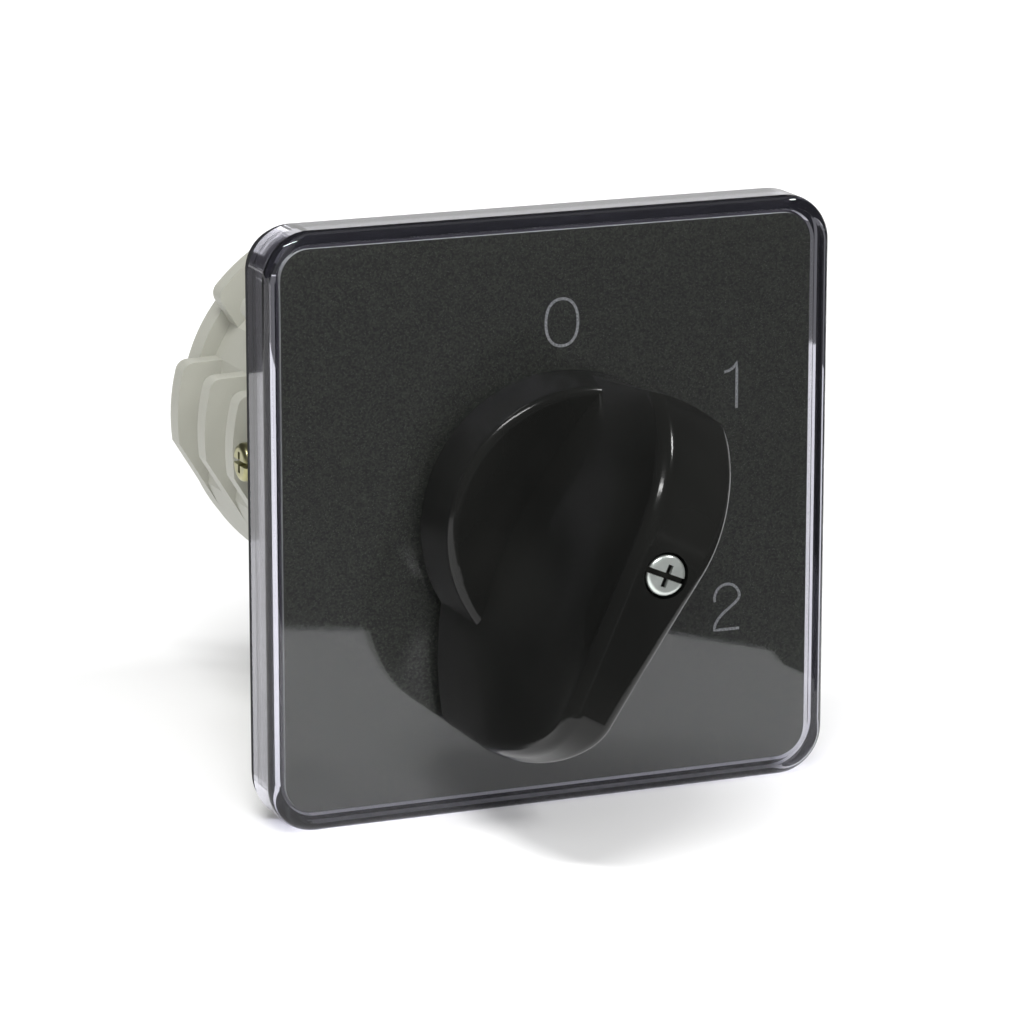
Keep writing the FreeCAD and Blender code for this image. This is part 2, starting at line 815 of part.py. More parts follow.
def contact_chamber():
    """The chamber for one contact, cut from the front, in the contact's own frame."""
    deep = stage_length - flange_thickness
    wide = block(nose_reach + follower_room, chamber_reach, -1, deep, -chamber_half_width,
                 chamber_half_width)
    guide = block(0, chamber_reach, -1, deep, -plunger_half_width - slide_play,
                  plunger_half_width + slide_play)
    behind = plunger_body_reach + bridge_thickness + slide_play
    near = plunger_half_width + cheek_gap
    cheek = block(behind, chamber_reach + 1, 0, deep, near, chamber_half_width + 1)
    return [wide.cut([cheek, mirrored(cheek)]), guide]


def strip_points():
    """The bends of a fixed contact: contact tip, foot, and the seat under the terminal screw."""
    tip_x = plunger_body_reach - 2 * button_height - contact_gap - strip_thickness / 2
    turn = math.radians(terminal_angle)
    seat = terminal_reach - strip_thickness / 2
    out, along = V(math.cos(turn), 0, math.sin(turn)), V(-math.sin(turn), 0, math.cos(turn))
    near = out * seat - along * terminal_half_width
    far = out * seat + along * terminal_half_width
    return [V(tip_x, 0, strip_start), V(tip_x, 0, far.z - strip_foot), far, near]


def strip_path(points, thickness, start, end, grow=0.0):
    """A bent flat strip that follows the points, as thick as stated and standing along the axis."""
    runs = []
    half = thickness / 2 + grow
    for a, b in zip(points, points[1:]):
        along = b.sub(a)
        along.normalize()
        across = V(-along.z, 0, along.x) * half
        a2, b2 = a - along * half, b + along * half
        runs.append(polygon_prism([a2 + across, b2 + across, b2 - across, a2 - across], start, end))
    return fused(runs)


def fixed_contact():
    """One fixed contact with its silver button and the tapped seat of the terminal."""
    low, high = stage_mid - strip_height / 2, stage_mid + strip_height / 2
    points = strip_points()
    strip = strip_path(points, strip_thickness, low, high)
    top = points[0].x + strip_thickness / 2
    button = radial_cylinder(button_radius, top - sink, top + button_height, stage_mid)
    button.translate(V(0, 0, button_place))
    hole = turned(radial_cylinder(terminal_screw_radius, terminal_reach - strip_thickness - 1,
                                  terminal_reach + 1, stage_mid), terminal_angle)
    return less(fused([strip, button]), [hole])


def mirrored(shape):
    """The same piece on the other side of the contact's centre line."""
    return shape.mirror(ORIGIN, V(0, 0, 1))


def strip_room():
    """The slot in the housing that a fixed contact lies in, cut from the front."""
    high = stage_mid + strip_height / 2
    return strip_path(strip_points(), strip_thickness, -1, high, grow=slide_play)


def terminal_pocket():
    """The pocket in the chord face round a terminal's seat, open towards the outside."""
    half = terminal_half_width + 2 * slide_play
    high = stage_mid + strip_height / 2 + slide_play
    pocket = block(terminal_reach - strip_thickness, petal_radius, -1, high, -half, half)
    well = radial_cylinder(terminal_screw_radius + 2 * slide_play,
                           terminal_reach - terminal_screw_length, terminal_reach, stage_mid)
    return [turned(pocket, terminal_angle), turned(well, terminal_angle)]


def stage_housing(number):
    """One stage: core, barrier flange, cam well, and chambers where it holds contacts."""
    body = fused([prism(core_edges(), 0, stage_length - flange_thickness + sink), flange()]
                 + pegs(0.0))
    cutters = [cylinder(cam_radius + cam_gap, -peg_height - 1, stage_length - floor_thickness),
               cylinder(cam_hub_radius + cam_gap / 2, -1, stage_length + 1)]
    cutters += tie_holes(-1, stage_length + 1) + peg_holes(stage_length)
    for side, angle in SIDE_ANGLE.items():
        if (number, side) in PROGRAM:
            room = contact_chamber() + [strip_room()] + terminal_pocket()
            room += [mirrored(cut) for cut in [strip_room()] + terminal_pocket()]
            cutters += [turned(cut, angle) for cut in room]
    return shifted(less(body, cutters), stage_start(number))


def stage_start(number):
    """Where a stage begins on the switch axis."""
    return stages_start + (number - 1) * stage_length


def cam(number):
    """One cam: a lobe with a notch for each contact of its stage, and a hub as long as the stage."""
    low, high = stage_mid - cam_thickness / 2, stage_mid + cam_thickness / 2
    disc = cylinder(cam_radius, low, high)
    core = cylinder(cam_radius - cam_notch_depth, low - 1, high + 1)
    for side, angle in SIDE_ANGLE.items():
        if (number, side) in PROGRAM:
            place = angle + step_angle * (PROGRAM[(number, side)] - 1)
            notch = sector(cam_radius + 1, cam_notch_angle / 2, place, low - 1, high + 1)
            disc = disc.cut(notch.cut(core))
    hub = cylinder(cam_hub_radius, 0, stage_length)
    body = less(fused([disc, hub]), [square_bar(-1, stage_length + 1)])
    return shifted(body, stage_start(number))


def plunger():
    """One contact carrier: a block with a round nose and a pin for the bridge and its spring."""
    low, high = stage_mid - plunger_height / 2, stage_mid + plunger_height / 2
    nose = cylinder(plunger_half_width, low, high, nose_reach + plunger_half_width)
    body = block(nose_reach + plunger_half_width, plunger_body_reach, low, high,
                 -plunger_half_width, plunger_half_width)
    pin = radial_cylinder(plunger_pin_radius, plunger_body_reach - sink,
                          plunger_body_reach + plunger_pin_length, stage_mid)
    front = block(0, plunger_body_reach, low - 1, high + 1, -plunger_half_width - 1,
                  plunger_half_width + 1)
    return fused([fused([nose, body]).common(front), pin])


def bridge():
    """One moving contact: a copper bar with two silver buttons and a hole for the pin."""
    low, high = stage_mid - bridge_height / 2, stage_mid + bridge_height / 2
    start = plunger_body_reach
    bar = block(start, start + bridge_thickness, low, high, -bridge_half_length, bridge_half_length)
    buttons = []
    for side in (-1, 1):
        button = radial_cylinder(button_radius, start - button_height, start + sink, stage_mid)
        button.translate(V(0, 0, side * button_place))
        buttons.append(button)
    hole = radial_cylinder(plunger_pin_radius + slide_play, start - 1,
                           start + bridge_thickness + 1, stage_mid)
    return less(fused([bar] + buttons), [hole])


def contact_spring():
    """The spring between a bridge and the end of its chamber."""
    start = plunger_body_reach + bridge_thickness
    return coil(spring_radius, spring_wire, start, chamber_reach, stage_mid, spring_turns)


def saddle_clamp():
    """The clamp under a terminal screw, bent down at its two long edges."""
    start = terminal_reach
    low, high = stage_mid - strip_height / 2, stage_mid + strip_height / 2
    plate = block(start + clamp_lip, start + clamp_lip + clamp_thickness, low, high,
                  -clamp_half_width, clamp_half_width)
    lips = [block(start, start + clamp_lip + sink, y0, y0 + clamp_thickness, -clamp_half_width,
                  clamp_half_width) for y0 in (low, high - clamp_thickness)]
    hole = radial_cylinder(terminal_screw_radius + slide_play, start - 1,
                           start + clamp_lip + clamp_thickness + 1, stage_mid)
    return turned(less(fused([plate] + lips), [hole]), terminal_angle)


def terminal_screw():
    """One terminal screw with a slotted cross head, pointing out of the side of the stage."""
    seat = terminal_reach + clamp_lip + clamp_thickness
    head = radial_cylinder(terminal_screw_head_radius, seat, seat + terminal_screw_head_height,
                           stage_mid)
    top = seat + terminal_screw_head_height
    rim = [e for e in head.Edges
           if len(e.Vertexes) == 1 and abs(e.Vertexes[0].X - top) < 1e-6]
    head = head.makeFillet(screw_edge_round, rim)
    shank_end = terminal_reach - terminal_screw_length + 2 * slide_play
    shank = radial_cylinder(terminal_screw_radius, shank_end, seat + sink, stage_mid)
    half, reach = slot_width / 2, terminal_screw_head_radius + 1
    deep = top - slot_depth
    slots = [block(deep, top + 1, stage_mid - reach, stage_mid + reach, -half, half),
             block(deep, top + 1, stage_mid - half, stage_mid + half,
                   -slot_cross_half, slot_cross_half)]
    return turned(less(fused([head, shank]), slots), terminal_angle)


def placed(shape, number, side):
    """A contact's piece, moved from the contact's own frame to its stage and side."""
    return shifted(turned(shape, SIDE_ANGLE[side]), stage_start(number))


def rear_cover():
    """The cover behind the last stage, with the rear bearing and the seats of the bolt heads."""
    end = stages_end + rear_cover_thickness
    disc = cylinder(rear_cover_radius, stages_end, end)
    rim = [e for e in disc.Edges if len(e.Vertexes) == 1 and abs(e.Vertexes[0].Y - end) < 1e-6]
    disc = fused([disc.makeFillet(rear_cover_round, rim)] + pegs(stages_end))
    bearing = cylinder(rear_journal_radius + running_fit, stages_end - 1,
                       stages_end + rear_journal_length + running_fit)
    hub_room = cylinder(cam_hub_radius + cam_gap / 2, stages_end - peg_height - 1, stages_end)
    seats = [cylinder(tie_head_radius + tie_hole_play, end - tie_head_height, end + 1, p.x, p.z)
             for p in tie_places()]
    return less(disc, [bearing, hub_room] + seats + tie_holes(stages_end - 1, end + 1))


def tie_bolts():
    """Two long bolts from the rear cover to the nuts in the frame."""
    head_back = stages_end + rear_cover_thickness
    head_front = head_back - tie_head_height
    bolts = []
    for p in tie_places():
        head = cylinder(tie_head_radius, head_front, head_back, p.x, p.z)
        shank = cylinder(tie_bolt_radius, frame_front, head_front + sink, p.x, p.z)
        slot = block(p.x - tie_head_radius - 1, p.x + tie_head_radius + 1,
                     head_back - slot_depth, head_back + 1, p.z - slot_width / 2, p.z + slot_width / 2)
        bolts.append(less(fused([head, shank]), [slot]))
    return bolts


def contact_nodes():
    """Every contact's own pieces, by node name."""
    nodes = {}
    for number, side in PROGRAM:
        label = f"{number}_{side}"
        nodes[f"plunger_{label}"] = placed(plunger(), number, side)
        nodes[f"contact_bridge_{label}"] = placed(bridge(), number, side)
        nodes[f"contact_spring_{label}"] = placed(contact_spring(), number, side)
        pair = [fixed_contact(), mirrored(fixed_contact())]
        nodes[f"fixed_contacts_{label}"] = [placed(piece, number, side) for piece in pair]
    return nodes


def repeated_on_terminals(piece):
    """The same fastener on both terminals of every contact."""
    return [placed(copy, number, side) for number, side in PROGRAM
            for copy in (piece, mirrored(piece))]


def all_nodes():
    """Every node of the switch, as one solid or a list of separate solids."""
    nodes = {
        "clear_cover": clear_cover(), "legend_plate": legend_plate(), "front_frame": front_frame(),
        "panel_gasket": panel_gasket(), "shaft_seal": shaft_seal(), "knob": knob(),
        "knob_screw": knob_screw(), "spindle": spindle(), "detent_wheel": detent_wheel(),
        "detent_sliders": detent_sliders(), "detent_rollers": detent_rollers(),
        "detent_springs": detent_springs(), "latch_housing": latch_housing(),
        "latch_cover": latch_cover(), "rear_cover": rear_cover(), "tie_bolts": tie_bolts(),
        "tie_nuts": tie_nuts(), "saddle_clamps": repeated_on_terminals(saddle_clamp()),
        "terminal_screws": repeated_on_terminals(terminal_screw()),
    }
    for number in range(1, stage_count + 1):
        nodes[f"stage_housing_{number}"] = stage_housing(number)
        nodes[f"cam_{number}"] = cam(number)
    for name in ROTOR:
        nodes[name] = turned(nodes[name], rest_turn)
    nodes.update(contact_nodes())
    return nodes


def main():
    os.makedirs("parts", exist_ok=True)
    for name, shape in all_nodes().items():
        solids = shape if isinstance(shape, list) else [shape]
        solids = [solid for piece in solids for solid in piece.Solids]
        whole = solids[0] if len(solids) == 1 else Part.makeCompound(solids)
        whole.exportStep(f"parts/{name}.step")
        print(f"{name}: {len(solids)} solid, {whole.Volume:.1f} mm3, valid {whole.isValid()}")


main()
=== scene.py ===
"""A rotary cam switch for a panel: finishes, numerals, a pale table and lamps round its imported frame."""

import math

import bpy
import numpy as np
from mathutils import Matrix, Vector


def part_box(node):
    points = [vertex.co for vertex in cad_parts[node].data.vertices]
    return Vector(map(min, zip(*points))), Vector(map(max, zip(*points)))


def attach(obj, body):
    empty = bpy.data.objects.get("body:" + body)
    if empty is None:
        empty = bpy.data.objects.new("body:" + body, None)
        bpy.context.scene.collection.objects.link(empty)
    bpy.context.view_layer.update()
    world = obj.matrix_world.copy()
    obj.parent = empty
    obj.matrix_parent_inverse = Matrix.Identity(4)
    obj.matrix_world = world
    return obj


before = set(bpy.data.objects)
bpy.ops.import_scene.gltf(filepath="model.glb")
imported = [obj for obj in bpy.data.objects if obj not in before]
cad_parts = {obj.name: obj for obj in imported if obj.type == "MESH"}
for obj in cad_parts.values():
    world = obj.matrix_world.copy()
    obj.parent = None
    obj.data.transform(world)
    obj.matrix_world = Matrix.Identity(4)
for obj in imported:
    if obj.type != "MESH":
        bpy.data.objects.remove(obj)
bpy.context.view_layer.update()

MM = 0.001

# The printed numerals, in metres: a place is the (x, z) of the middle, and the two's crown runs between two
# directions in degrees
NUMERAL_HEIGHT = 5.1 * MM
NUMERAL_STROKE = 0.3 * MM
NUMERAL_FILM = 0.03 * MM
ZERO_WIDTH = 3.7 * MM
ZERO_SQUARENESS = 0.88
ZERO_PLACE = (1.3 * MM, 20.5 * MM)
ONE_FLAG_REACH = 1.5 * MM
ONE_FLAG_DROP = 1.0 * MM
ONE_PLACE = (21.9 * MM, 11.95 * MM)
TWO_WIDTH = 3.0 * MM
TWO_CROWN = (195, 5)
TWO_PLACE = (21.0 * MM, -12.8 * MM)

# Colours; where there are two, they are the darkest and the lightest patch
LEGEND_COAT = ((0.0146, 0.0158, 0.0115), (0.0520, 0.0560, 0.0410))
PLATE_EDGE = (0.30, 0.31, 0.29)
NUMERAL_METAL = ((0.17, 0.175, 0.16), (0.38, 0.39, 0.36))
KNOB_BLACK = ((0.006, 0.0062, 0.0058), (0.0095, 0.0097, 0.009))
FRAME_BLACK = (0.014, 0.014, 0.016)
# Painted light: the frame a little lighter and violet where the clear wall stands over it
FRAME_PAINTED_LIGHT_UNDER_WALL = (0.040, 0.038, 0.044)
GASKET_RUBBER = (0.015, 0.015, 0.015)
NATURAL_NYLON = (0.74, 0.72, 0.64)
CAM_NYLON = (0.30, 0.10, 0.05)
BODY_IVORY = (0.385, 0.385, 0.338)
BRIGHT_ZINC = (0.66, 0.70, 0.67)
# Painted shade in the screw's slots and round its rim
SLOT_PAINTED_SHADE = (0.05, 0.05, 0.045)
GROUND_STEEL = (0.60, 0.60, 0.60)
SPRING_WIRE = (0.45, 0.45, 0.45)
CONTACT_COPPER = (0.74, 0.50, 0.26)
OLIVE_ZINC = (0.38, 0.365, 0.20)
PALE_TABLE = ((0.86, 0.86, 0.86), (0.90, 0.90, 0.90))

# The clear plastic: its colour, what it lets through of the lamps, and what it takes out of light on the way
# through, as a cast and a density per metre
CLEAR_COLOUR = (0.97, 0.97, 0.985)
CLEAR_TO_LAMPS = (0.9, 0.9, 0.93)
CLEAR_CAST = (0.78, 0.777, 0.825)
CLEAR_DENSITY = 370.0
ACRYLIC_IOR = 1.49

# Roughness: one value, or the least and the most; a stray is how far it runs to both sides of one value
LEGEND_ROUGHNESS = (0.38, 0.62)
NUMERAL_ROUGHNESS = (0.4, 0.6)
KNOB_ROUGHNESS = (0.13, 0.20)
FRAME_ROUGHNESS = (0.12, 0.85)
ACRYLIC_ROUGHNESS = (0.01, 0.04)
TABLE_ROUGHNESS = 0.9
MOULDED_STRAY = 0.06
METAL_STRAY = 0.12

# Cells of each pattern in a metre
MOULDED_DRIFT, MOULDED_GRAIN = 90, 2600
METAL_LINES, METAL_CLOUD = 2200, 420
LEGEND_FLAKES, LEGEND_HAZE = 6500, 3800
NUMERAL_SPECKLE = 5200
KNOB_DRIFT, KNOB_ORANGE_PEEL = 60, 700
ACRYLIC_CLOUD = 260
TABLE_DRIFT = 8

# Depths between which the frame's polished part, with its painted light, passes into its matt rim, and those
# behind the front of the screw's head past which painted shade darkens its slots and rim
FRAME_RIM_EDGE = (-2.8 * MM, -2.65 * MM)
SLOT_SHADE_DEPTHS = (0.22 * MM, 0.55 * MM)

# The photographer's place and direction, in metres and degrees, with lens and film width in millimetres
CAMERA_PLACE = (-0.205495, -0.490068, 0.128813)
CAMERA_AZIMUTH = -22.603
CAMERA_DROP = 13.8075
CAMERA_LENS = 177.11
CAMERA_FILM = 36.0

# The pale table, and the glow that lifts it to white to the eye from near the switch to far out
TABLE_REACH = 2.0
TABLE_GLOW = (0.04, 0.62)
TABLE_GLOW_REACH = (0.12, 0.55)

# What only mirrors and clear plastic meet: past its edge in front of the switch the table is a dark floor,
# far behind the switch it is dimmer, and round it stands a dark room with low openings. An outline is (x, y)
# in metres. The room's steps are of turn and rise, and an opening is its first and last turn and how far it
# rises, in degrees.
CARD_LIFT = 0.3 * MM
TABLE_EDGE = ((-0.120, -0.140), (0.0397, -0.067), (0.0485, -0.0545), (0.0468, -0.0485), (0.0480, -0.0360))
DARK_FLOOR_FAR = ((0.085, -0.005), (1.30, 0.573), (1.30, -1.30), (-1.30, -1.30), (-1.30, -0.681))
DIM_FLOOR = ((-0.60, 0.053), (-0.111, 0.211), (0.118, 0.200), (0.60, 0.18), (0.60, 1.0), (-0.60, 1.0))
DIM_LEVEL = 0.22
ROOM_LEVEL = 0.07
ROOM_RADIUS = 1.2
ROOM_STEPS = (5.0, 2.0)
ROOM_OPENINGS = ((25.0, 105.0, 8.0), (55.0, 85.0, 26.0))

# Lamps: name, place, aim, width and height in metres, power in watts, and whether mirrors show it
LAMPS = (
    ("overhead", (-0.15, -0.10, 0.80), (0, 0.02, 0), 0.55, 0.45, 1.9, False),
    ("window", (0.52, -0.11, 0.73), (0, 0, 0), 0.22, 0.09, 2.4, True),
    ("ceiling_strip", (-0.25, -0.30, 0.69), (0, 0, 0), 0.40, 0.07, 3.4, True),
    ("fill", (-0.75, -0.55, 0.35), (0, 0.03, 0), 0.30, 0.30, 0.9, False),
    ("front", (-0.10, -1.00, 0.50), (0, 0, 0), 1.0, 0.8, 8.2, False),
)

# The white surround's strength as a light, and where it is looked at
SURROUND_LEVEL = (0.35, 1.0)


# Shapes worked out on grids

def grid_faces(rows, columns, wrap_rows=False):
    """Quads of a grid of rows by columns, each row closed on itself.

    A quad takes a point, its neighbour in the row and the same two in the next row. wrap_rows joins the last
    row to the first as well.
    """
    first = np.arange(rows if wrap_rows else rows - 1)[:, None]
    across = np.arange(columns)[None, :]
    after, beside = (first + 1) % rows, (across + 1) % columns
    corners = (first * columns + across, first * columns + beside,
               after * columns + beside, after * columns + across)
    return np.stack(np.broadcast_arrays(*corners), -1).reshape(-1, 4)


def mesh_object(name, points, faces, smooth=False):
    """A mesh object at the origin from its points and a list of faces."""
    mesh = bpy.data.meshes.new(name)
    mesh.from_pydata(np.asarray(points, float).tolist(), [], faces)
    mesh.polygons.foreach_set("use_smooth", np.full(len(mesh.polygons), smooth))
    mesh.update()
    piece = bpy.data.objects.new(name, mesh)
    bpy.context.scene.collection.objects.link(piece)
    return piece


def unit(steps):
    """Each step at length one."""
    return steps / np.linalg.norm(steps, axis=1, keepdims=True)


def printed_stroke(path, closed):
    """Points and faces of a flat ribbon along a path of (x, z) pairs.

    Each point is set off half a stroke to both sides, at right angles to the mean of the directions before
    and after it. The section is a thin rectangle that stands on y = 0 and rises towards -y.
    """
    ahead = np.roll(path, -1, 0) - path
    behind = path - np.roll(path, 1, 0)
    if not closed:
        ahead[-1], behind[0] = behind[-1], ahead[0]
    along = unit(unit(ahead) + unit(behind))
    aside = np.stack([-along[:, 1], along[:, 0]], 1) * NUMERAL_STROKE / 2
    edges = np.stack([path + aside, path - aside, path - aside, path + aside], 1)
    depth = np.array([-NUMERAL_FILM, -NUMERAL_FILM, 0.0, 0.0])
    points = np.stack([edges[..., 0], np.broadcast_to(depth, edges.shape[:2]), edges[..., 1]], -1)
    faces = grid_faces(len(path), 4, wrap_rows=closed).tolist()
    if not closed:
        last = 4 * (len(path) - 1)
        faces += [[0, 1, 2, 3], [last + 3, last + 2, last + 1, last]]
    return points.reshape(-1, 3), faces


def bend(start, pull_start, pull_end, end, steps):
    """Points of a cubic curve from start to end that leaves and arrives along its two pulls."""
    t = np.linspace(0, 1, steps)[:, None]
    corners = [np.array(point, float) for point in (start, pull_start, pull_end, end)]
    return ((1 - t) ** 3 * corners[0] + 3 * t * (1 - t) ** 2 * corners[1]
            + 3 * t ** 2 * (1 - t) * corners[2] + t ** 3 * corners[3])


def zero_path():
    """An upright oval: cosine and sine of the angle to a power a little under one, times the half sizes."""
    angle = np.linspace(0, 2 * math.pi, 72, endpoint=False)
    circle = np.stack([np.cos(angle), np.sin(angle)], 1)
    oval = np.sign(circle) * np.abs(circle) ** ZERO_SQUARENESS
    return oval * (ZERO_WIDTH / 2, NUMERAL_HEIGHT / 2)


def one_path():
    """A flag that curves up to the top, pulled at shares of its reach and drop, then a straight stem."""
    reach, drop, top = ONE_FLAG_REACH, ONE_FLAG_DROP, NUMERAL_HEIGHT / 2
    flag = bend((-reach, top - drop), (-0.5 * reach, top - 0.9 * drop), (-0.1 * reach, top - 0.5 * drop),
                (0, top), 8)
    stem = np.stack([np.zeros(6), np.linspace(top, -top, 7)[1:]], 1)
    return np.vstack([flag, stem])


def two_path():
    """A crown on an arc of half the width, an S-shaped fall to the lower left and a straight foot."""
    half, top = TWO_WIDTH / 2, NUMERAL_HEIGHT / 2
    angle = np.radians(np.linspace(*TWO_CROWN, 24))
    crown = np.stack([half * np.cos(angle), top - half + half * np.sin(angle)], 1)
    fall = bend(crown[-1], (half, 0.05 * top), (-half, -0.25 * top), (-half, -top), 16)[1:]
    foot = np.stack([np.linspace(-half, half, 6)[1:], np.full(5, -top)], 1)
    return np.vstack([crown, fall, foot])


# Helpers for finishes; an owner is a material or the world

def add(owner, kind, **settings):
    """One node in the owner's tree; a setting is a property or a socket, with _ for a space in its name."""
    made = owner.node_tree.nodes.new(kind)
    for key, value in settings.items():
        if hasattr(made, key):
            setattr(made, key, value)
        else:
            made.inputs[key.replace("_", " ")].default_value = value
    return made


def join(owner, source, target):
    """A link from one socket to another in the owner's tree."""
    owner.node_tree.links.new(source, target)


def main_shader(material):
    """The material's one Principled shader."""
    return material.node_tree.nodes["Principled BSDF"]


def new_finish(name):
    """A new node material and its main shader."""
    material = bpy.data.materials.new(name)
    material.use_nodes = True
    return material, main_shader(material)


def surface_place(material, stretch=(1, 1, 1)):
    """The point on the object in its own coordinates, stretched where a grain runs one way."""
    place = add(material, "ShaderNodeTexCoord")
    turn = add(material, "ShaderNodeMapping", Scale=stretch)
    join(material, place.outputs["Object"], turn.inputs["Vector"])
    return turn.outputs["Vector"]


def grain(material, place, per_metre, detail=2.0, roughness=0.5):
    """A noise of that many cells in a metre."""
    noise = add(material, "ShaderNodeTexNoise", Scale=per_metre, Detail=detail, Roughness=roughness)
    join(material, place, noise.inputs["Vector"])
    return noise.outputs["Fac"]


def run_between(owner, factor, low, high, start=0.0, stop=1.0):
    """A number that runs from low to high as the factor goes from start to stop, and is held past them."""
    span = add(owner, "ShaderNodeMapRange", From_Min=start, From_Max=stop, To_Min=low, To_Max=high)
    join(owner, factor, span.inputs["Value"])
    return span.outputs["Result"]


def level_between(owner, factor, low, high, target):
    """Runs a number from low to high with the factor, into the target socket."""
    join(owner, run_between(owner, factor, low, high), target)


def depth_share(material, first, last):
    """A share that runs from 0 to 1 as the depth, the place along y, goes from first to last."""
    place = add(material, "ShaderNodeSeparateXYZ")
    join(material, surface_place(material), place.inputs["Vector"])
    return run_between(material, place.outputs["Y"], 0.0, 1.0, first, last)


def shade_between(material, factor, low, high, target, band=(0.35, 0.65)):
    """Runs a colour from low to high with the factor, into the target socket."""
    ramp = add(material, "ShaderNodeValToRGB")
    for element, position, colour in zip(ramp.color_ramp.elements, band, (low, high)):
        element.position, element.color = position, (*colour, 1)
    join(material, factor, ramp.inputs["Fac"])
    join(material, ramp.outputs["Color"], target)


def shade_around(material, factor, colour, spread, target):
    """Runs a colour from a share darker to the same share lighter, into the target socket."""
    darker = tuple(part * (1 - spread) for part in colour)
    lighter = tuple(min(1.0, part * (1 + spread)) for part in colour)
    shade_between(material, factor, darker, lighter, target)


def blend_over(material, shader, colour, share):
    """Lays a colour over the finish's own: the colour alone at share 0, the finish's own at share 1."""
    own = shader.inputs["Base Color"].links[0].from_socket
    blend = add(material, "ShaderNodeMix", data_type="RGBA")
    blend.inputs[6].default_value = (*colour, 1)
    join(material, share, blend.inputs[0])
    join(material, own, blend.inputs[7])
    join(material, blend.outputs[2], shader.inputs["Base Color"])


def relief(material, factor, height, strength, target):
    """A bump of that height in metres, into the target socket."""
    bump = add(material, "ShaderNodeBump", Strength=strength, Distance=height)
    join(material, factor, bump.inputs["Height"])
    join(material, bump.outputs["Normal"], target)


# Finishes

def moulding(name, colour, roughness, spread=0.04, grain_height=0.012 * MM, gloss=0.5):
    """Moulded plastic: slow colour drift, and a fine spark-eroded grain in its gloss and relief."""
    material, shader = new_finish(name)
    place = surface_place(material)
    drift = grain(material, place, MOULDED_DRIFT, 3.0)
    fine = grain(material, place, MOULDED_GRAIN, 3.0, 0.6)
    least, most = roughness - MOULDED_STRAY, roughness + MOULDED_STRAY
    shade_around(material, drift, colour, spread, shader.inputs["Base Color"])
    level_between(material, fine, least, most, shader.inputs["Roughness"])
    relief(material, fine, grain_height, 0.5, shader.inputs["Normal"])
    shader.inputs["Specular IOR Level"].default_value = gloss
    return material


def plated_metal(name, colour, roughness, run=(1, 1, 12), spread=0.1):
    """Plated or drawn metal: fine lines along one way in the gloss, and a cloudy plate colour."""
    material, shader = new_finish(name)
    shader.inputs["Metallic"].default_value = 1.0
    lines = grain(material, surface_place(material, run), METAL_LINES, 4.0, 0.7)
    cloud = grain(material, surface_place(material), METAL_CLOUD, 3.0)
    least, most = roughness - METAL_STRAY, roughness + METAL_STRAY
    shade_around(material, cloud, colour, spread, shader.inputs["Base Color"])
    level_between(material, lines, least, most, shader.inputs["Roughness"])
    relief(material, lines, 0.006 * MM, 0.4, shader.inputs["Normal"])
    return material


def frame_black():
    """Black moulding of the frame, matt on its open rim behind.

    It is polished where the clear wall stands over it, and there a painted light makes it a little lighter
    and violet.
    """
    material = moulding("frame_black", FRAME_BLACK, 0.5, gloss=0.35)
    shader = main_shader(material)
    rim = depth_share(material, *FRAME_RIM_EDGE)
    level_between(material, rim, *FRAME_ROUGHNESS, shader.inputs["Roughness"])
    # Painted light and violet cast on the polished part in front of the matt rim, under the clear wall
    blend_over(material, shader, FRAME_PAINTED_LIGHT_UNDER_WALL, rim)
    return material


def screw_zinc():
    """Bright zinc on the knob's screw, with painted shade down in its slots and round its rim."""
    material = plated_metal("bright_zinc", BRIGHT_ZINC, 0.34)
    shader = main_shader(material)
    shader.inputs["Metallic"].default_value = 0.8
    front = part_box("knob_screw")[0].y
    # Painted shade: the zinc turns dark deeper than the head's front, in the slots and round the rim
    unshaded = depth_share(material, front + SLOT_SHADE_DEPTHS[1], front + SLOT_SHADE_DEPTHS[0])
    blend_over(material, shader, SLOT_PAINTED_SHADE, unshaded)
    return material


def clear_acrylic():
    """Clear moulded acrylic with a faint violet smoke in it.

    Lamps shine through it straight, so what lies under it is lit.
    """
    material, shader = new_finish("clear_acrylic")
    shader.inputs["Base Color"].default_value = (*CLEAR_COLOUR, 1)
    shader.inputs["Transmission Weight"].default_value = 1.0
    shader.inputs["IOR"].default_value = ACRYLIC_IOR
    cloud = grain(material, surface_place(material), ACRYLIC_CLOUD)
    level_between(material, cloud, *ACRYLIC_ROUGHNESS, shader.inputs["Roughness"])
    relief(material, cloud, 0.01 * MM, 0.15, shader.inputs["Normal"])
    rays = add(material, "ShaderNodeLightPath")
    through = add(material, "ShaderNodeBsdfTransparent", Color=(*CLEAR_TO_LAMPS, 1))
    mix = add(material, "ShaderNodeMixShader")
    join(material, rays.outputs["Is Shadow Ray"], mix.inputs["Fac"])
    join(material, shader.outputs["BSDF"], mix.inputs[1])
    join(material, through.outputs["BSDF"], mix.inputs[2])
    smoke = add(material, "ShaderNodeVolumeAbsorption", Color=(*CLEAR_CAST, 1), Density=CLEAR_DENSITY)
    output = material.node_tree.nodes["Material Output"]
    join(material, mix.outputs["Shader"], output.inputs["Surface"])
    join(material, smoke.outputs["Volume"], output.inputs["Volume"])
    return material


